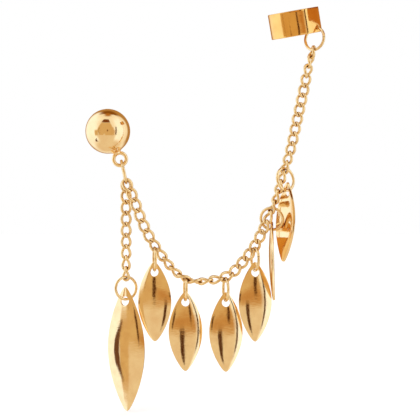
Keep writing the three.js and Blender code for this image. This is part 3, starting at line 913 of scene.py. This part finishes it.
# %% Ear nut
NUT_PROFILE = [  # radius and distance behind the ball, in mm
    (0.5, 3.95), (0.65, 3.8), (2.35, 3.8), (2.46, 3.86), (2.5, 3.97), (2.5, 4.13), (2.46, 4.24),
    (2.35, 4.3), (1.62, 4.3), (1.46, 4.36), (1.4, 4.5), (1.4, 5.0), (1.3, 5.1), (1.3, 5.3),
    (1.4, 5.4), (1.4, 6.25), (1.34, 6.42), (1.2, 6.5), (0.65, 6.5), (0.5, 6.35),
]
NUT_STEPS = 96

nut_sections = []
for i in range(NUT_STEPS):
    ray = Matrix.Rotation(math.tau * i / NUT_STEPS, 3, BACK) @ UP
    nut_sections.append([(ray * radius + BACK * behind) * MM for radius, behind in NUT_PROFILE])
nut = as_object("push_on_nut", skin(nut_sections, round_trip=True))
nut.data.materials.append(polished_gold)
make_plain(nut, sharp_over=60)
dress(nut, "ear_cuff", "polished_gold", "ear_nut")

# %% [markdown]
# ## Cuff band
# The band is a strip of brass bent to an open ring, with a hole drilled near its lower edge for the
# chain's last ring. Its section is a slim rectangle with rounded corners. We sweep it round the
# ear's rim, shrink it at both ends so that the cut ends are rounded too, and drill the hole.

# %% Cuff band
BAND_RADIUS = 4.6 * MM
BAND_WALL = 0.45 * MM
BAND_HEIGHT = 4.5 * MM
BAND_OPENING = 3 * MM
BAND_EDGE = 0.12 * MM
BAND_PLACE = Vector((33.65, -1.8, 19.69)) * MM
BAND_HOLE = 0.5 * MM  # the hole's radius
BAND_HOLE_UP = -1.3 * MM  # the hole's centre, from the band's middle
BAND_STEPS = 180
CORNER_STEPS = 4
SIDE_ROWS = 16  # of quads on the tall sides


def band_section(angle, inset):
    """The strip's section at an angle round the band, drawn in by an inset at its cut ends."""
    half_wall, half_height = BAND_WALL / 2, BAND_HEIGHT / 2
    corner = BAND_EDGE - inset
    ray = Vector((math.cos(angle), math.sin(angle), 0))
    points = []
    for side, top, first in ((1, -1, -90), (1, 1, 0), (-1, 1, 90), (-1, -1, 180)):
        for step in range(CORNER_STEPS + 1):
            a = math.radians(first + 90 / CORNER_STEPS * step)
            out = side * (half_wall - BAND_EDGE) + corner * math.cos(a)
            high = top * (half_height - BAND_EDGE) + corner * math.sin(a)
            points.append(ray * (BAND_RADIUS - half_wall + out) + UP * high)
    full = []
    for number, point in enumerate(points):
        full.append(point)
        after = points[(number + 1) % len(points)]
        if (after - point).length > BAND_HEIGHT / 2:
            full += [point.lerp(after, k / SIDE_ROWS) for k in range(1, SIDE_ROWS)]
    return full


print("the section has", len(band_section(0.0, 0.0)), "points")

# %% [markdown]
# ### Sweeping and drilling the band
# The strip starts on one side of the opening and runs all the way round to the other. At both ends a few
# short steps shrink the section, as a file does when it takes off the sharp edge. The drill is a plain
# turned rod, laid through the wall.

# %% Sweeping and drilling the band
END_ROUNDING = 0.98  # a share of the edge's, so that the corner points stay apart

open_half = math.asin(BAND_OPENING / 2 / BAND_RADIUS)
start = math.pi / 2 + open_half
sweep = math.tau - 2 * open_half
band_steps = []
for k in range(CORNER_STEPS + 1):  # the rounded cut end
    lift = math.radians(90 - 90 / CORNER_STEPS * k)
    ahead = BAND_EDGE * (1 - math.sin(lift)) / BAND_RADIUS
    band_steps.append((ahead, BAND_EDGE * END_ROUNDING * (1 - math.cos(lift))))
middle_steps = [(sweep * k / BAND_STEPS, 0.0) for k in range(1, BAND_STEPS)]
far_steps = [(sweep - ahead, inset) for ahead, inset in reversed(band_steps)]
sections = [band_section(start + ahead, inset) for ahead, inset in band_steps + middle_steps + far_steps]
band = as_object("open_band", skin(sections))
drill_start = band_hole_way * (BAND_RADIUS - 2 * BAND_WALL) + UP * BAND_HOLE_UP
drill_profile = [(0, BAND_HOLE / MM), (3 * BAND_WALL / MM, BAND_HOLE / MM)]
drill = turned_piece(drill_start, band_hole_way, drill_profile, sides=40)
cut(band, as_object("drill", drill), "DIFFERENCE")
band.data.transform(Matrix.Translation(BAND_PLACE) @ band_turn)
band.data.materials.clear()
band.data.materials.append(rich_gold)
dress(band, "ear_cuff", "polished_gold", "cuff_band")

# %% [markdown]
# ## Studio
# Polished metal shows its surroundings more than itself. The piece hangs over a white floor, between two
# bright soft boxes, in a room that is dim and warm overhead and pale below. The lights are soft, so
# the only shadow is a faint one under the big leaf's tip.

# %% Floor
FLOOR_BELOW = 0.4 * MM  # under the big leaf's tip
FLOOR_REACH = 1.5  # metres to each side

floor_height = cad_box[0].z - FLOOR_BELOW
sides = ((-1, -1), (1, -1), (1, 1), (-1, 1))
floor_corners = [(x * FLOOR_REACH, y * FLOOR_REACH, floor_height) for x, y in sides]
floor_mesh = bpy.data.meshes.new("floor")
floor_mesh.from_pydata(floor_corners, [], [(0, 1, 2, 3)])
floor = as_object("floor", floor_mesh)
floor.visible_glossy = False  # the painted room stands in for it in reflections
paper = bpy.data.materials.new("white paper floor")
paper.use_nodes = True
sheet_finish = paper.node_tree.nodes["Principled BSDF"].inputs
sheet_finish["Base Color"].default_value = linear("#FBFBFB")
sheet_finish["Roughness"].default_value = 0.9
sheet_finish["Specular IOR Level"].default_value = 0.0
floor_mesh.materials.append(paper)
print("the floor lies at Z", round(floor_height / MM, 2), "mm")

# %% Soft boxes
BOX_DISTANCE = 400 * MM


def soft_box(name, azimuth, elevation, size, brightness, colour):
    """An area light that faces the picture's middle from a direction in degrees, 0 being the viewer's.
    brightness is how bright it looks, 1 being white."""
    light = bpy.data.lights.new(name, "AREA")
    light.shape = "RECTANGLE"
    light.size, light.size_y = (s * MM for s in size)
    light.energy = brightness * math.pi * light.size * light.size_y
    light.color = linear(colour)[:3]
    box = bpy.data.objects.new(name, light)
    turn, rise = math.radians(azimuth), math.radians(elevation)
    away = Vector((math.sin(turn) * math.cos(rise), -math.cos(turn) * math.cos(rise), math.sin(rise)))
    box.location = PICTURE_MIDDLE + away * BOX_DISTANCE
    box.rotation_euler = away.to_track_quat("Z", "Y").to_euler()
    box.visible_glossy = False  # the room holds its glow, with softer edges
    bpy.context.collection.objects.link(box)
    print("soft box", name, round(light.energy, 2), "W")


soft_box("left box", -94, 16, (520, 400), 0.6, "#F4F8FF")
soft_box("right box", 72, 16, (300, 400), 0.6, "#F4F8FF")

# %% [markdown]
# ### The room in the reflections
# The room is painted on the world by direction: azimuth from the viewer's side, positive to the right, and
# elevation. Each patch has soft edges, and one with a taper gets narrower upwards, or downwards where the
# taper is negative. There is a tan front wall between the soft boxes, the dark gap above it, a few dark
# stands and the dark edge of a box. They draw the streaks that make a picture of polished gold
# read as gold. Each patch is painted over the ones before it.

# %% The room in the reflections
BOX_WHITE = "#EEF5FF"
TABLE_CREAM = "#EDDCC3"
WALL_TAN = "#DCBB88"
STAND_BROWN = "#553015"
ROOM_PATCHES = [
    # azimuth, half width, soft edge, taper; elevation, half height, soft edge; brightness, colour
    (170, 42, 10, 0, 30, 55, 12, 1.0, "#B98A4C"),  # behind the piece
    (180, 62, 10, 0, 76, 22, 10, 1.0, "#8A5418"),  # warm ceiling behind
    (0, 200, 5, 0, 92, 13, 7, 1.0, "#B87A34"),  # overhead
    (-96, 44, 14, 0, 6, 52, 14, 1.35, BOX_WHITE),  # left box
    (72, 27, 12, 0, 6, 52, 14, 1.35, BOX_WHITE),  # right box
    (0, 200, 5, 0, -80, 34, 14, 1.0, TABLE_CREAM),  # below
    (-4, 50, 10, 0, -52, 45.5, 2.5, 1.0, TABLE_CREAM),  # table
    (-58, 9, 2, 0, -8, 12, 5, 1.0, WALL_TAN),  # low end of the front wall
    (-8, 38, 2.5, 0.42, 17, 24, 3, 1.0, WALL_TAN),  # front wall
    (12, 30, 12, 0, -1, 4, 4, 1.0, "#C79458"),  # foot of the front wall
    (-8, 25, 3, 0.42, 51, 9, 3, 1.0, "#7A4214"),  # gap over the front wall
    (-20, 3.6, 1, -0.2, 4, 8, 2, 1.0, STAND_BROWN),  # stands
    (25.5, 3.6, 1, -0.2, 6, 7, 2, 1.0, STAND_BROWN),
    (8, 5, 1.2, 0, -13, 8, 2, 1.0, STAND_BROWN),
    (48, 3, 1, 0, 0, 18, 3, 1.0, STAND_BROWN),  # edge of the right box
]

world = bpy.data.worlds.new("studio")
bpy.context.scene.world = world
world.use_nodes = True
room = world.node_tree
room.nodes.clear()
way = add(room, "ShaderNodeSeparateXYZ", add(room, "ShaderNodeTexCoord").outputs["Generated"])
toward = add(room, "ShaderNodeMath", way.outputs[1], -1.0, operation="MULTIPLY")
azimuth = add(room, "ShaderNodeMath", way.outputs[0], toward, operation="ARCTAN2")
azimuth = add(room, "ShaderNodeMath", azimuth, operation="DEGREES")
elevation = add(room, "ShaderNodeMath", way.outputs[2], operation="ARCSINE")
elevation = add(room, "ShaderNodeMath", elevation, operation="DEGREES")
shade = linear("#FFFCF4")  # cream, where no patch lies
for place, half_width, side_edge, taper, height, half_height, top_edge, bright, colour in ROOM_PATCHES:
    aside = add(room, "ShaderNodeMath", azimuth, place, operation="SUBTRACT")
    aside = add(room, "ShaderNodeMath", aside, 180.0, -180.0, operation="WRAP")
    aside = add(room, "ShaderNodeMath", aside, operation="ABSOLUTE")
    above = add(room, "ShaderNodeMath", elevation, height, operation="SUBTRACT")
    aside = add(room, "ShaderNodeMath", above, taper, aside, operation="MULTIPLY_ADD")
    above = add(room, "ShaderNodeMath", above, operation="ABSOLUTE")
    masks = []
    for off, half, edge in ((aside, half_width, side_edge), (above, half_height, top_edge)):
        fade = (half - edge, half + edge, 1.0, 0.0)
        masks.append(add(room, "ShaderNodeMapRange", off, *fade, interpolation_type="SMOOTHSTEP"))
    mask = add(room, "ShaderNodeMath", *masks, operation="MULTIPLY")
    glow = [part * bright for part in linear(colour)[:3]] + [1.0]
    shade = add(room, "ShaderNodeMix", mask, shade, glow, data_type="RGBA")
walls = add(room, "ShaderNodeBackground", shade, 1.0)
evenly = add(room, "ShaderNodeBackground", linear("#FFFFFF"), 1.15)  # what lights the paper floor
backdrop = add(room, "ShaderNodeBackground", linear("#FFFFFF"), 1.0)
ray = add(room, "ShaderNodeLightPath").outputs
lit = add(room, "ShaderNodeMixShader", ray["Is Diffuse Ray"], walls, evenly)
add(room, "ShaderNodeOutputWorld", add(room, "ShaderNodeMixShader", ray["Is Camera Ray"], lit, backdrop))
print(len(ROOM_PATCHES), "patches of the room")

# %% [markdown]
# ### Cards close to the piece
# What stands close by looks different from each piece, which a painted room can't do. A few flat
# upright cards that only reflections see stand for it: the wall that the ball and the band see before
# them with its dark edge, the lens before it, a curved dark board left of the big leaf, and an orange
# and a brown one beside the band.

# %% Cards close to the piece
CARDS = [  # name, start and end of its foot line as x and y, outline as (share along the line, z), colour
    (
        "wall_card",
        (-46, -60),
        (40, -60),
        [(-0.05, -25), (0.34, -25), (0.34, -17), (0.43, -17), (0.43, -25), (1.02, -25), (0.98, 17), (0, 17)],
        WALL_TAN,
    ),
    (
        "edge_card",
        (-46, -60),
        (40, -60),
        [(-0.07, -25), (-0.05, -25), (0, 4), (0, 17), (-0.03, 17)],
        "#6B3A14",
    ),
    (
        "lens_card",
        (0, -59),
        (7, -59),
        [(0, -4), (0.9, -4.5), (1, 0), (0.6, 5), (0.3, 5.5), (0.1, 1)],
        "#8A5A28",
    ),
    (
        "dark_board",
        (-52.2, -28.4),
        (-57, -6),
        [
            (-0.35, -33), (0.35, -37), (0.75, -42), (0.85, -48), (0.7, -54), (-0.3, -63),
            (-0.05, -57), (0.08, -52), (0.12, -46), (0.0, -40),
        ],
        "#6E4A34",
    ),
    ("orange_board", (46, -12), (46, 12), [(0, 20.5), (1, 22), (1, 26), (0, 24)], "#C8883E"),
    ("brown_board", (46, -12), (46, 12), [(0, 24), (1, 26), (1, 33), (0, 33)], "#94561F"),
]
for name, start, end, outline, colour in CARDS:
    foot = [Vector(start).lerp(Vector(end), share) for share, _ in outline]
    points = [(x * MM, y * MM, z * MM) for (x, y), (_, z) in zip(foot, outline)]
    card_mesh = bpy.data.meshes.new(name)
    card_mesh.from_pydata(points, [], [range(len(points))])
    card = as_object(name, card_mesh)
    card.visible_camera = card.visible_diffuse = card.visible_shadow = False
    finish = bpy.data.materials.new(name)
    finish.use_nodes = True
    finish.node_tree.nodes.clear()
    glow = add(finish.node_tree, "ShaderNodeEmission", linear(colour), 1.0)
    add(finish.node_tree, "ShaderNodeOutputMaterial", glow)
    card_mesh.materials.append(finish)
print(len(CARDS), "cards")
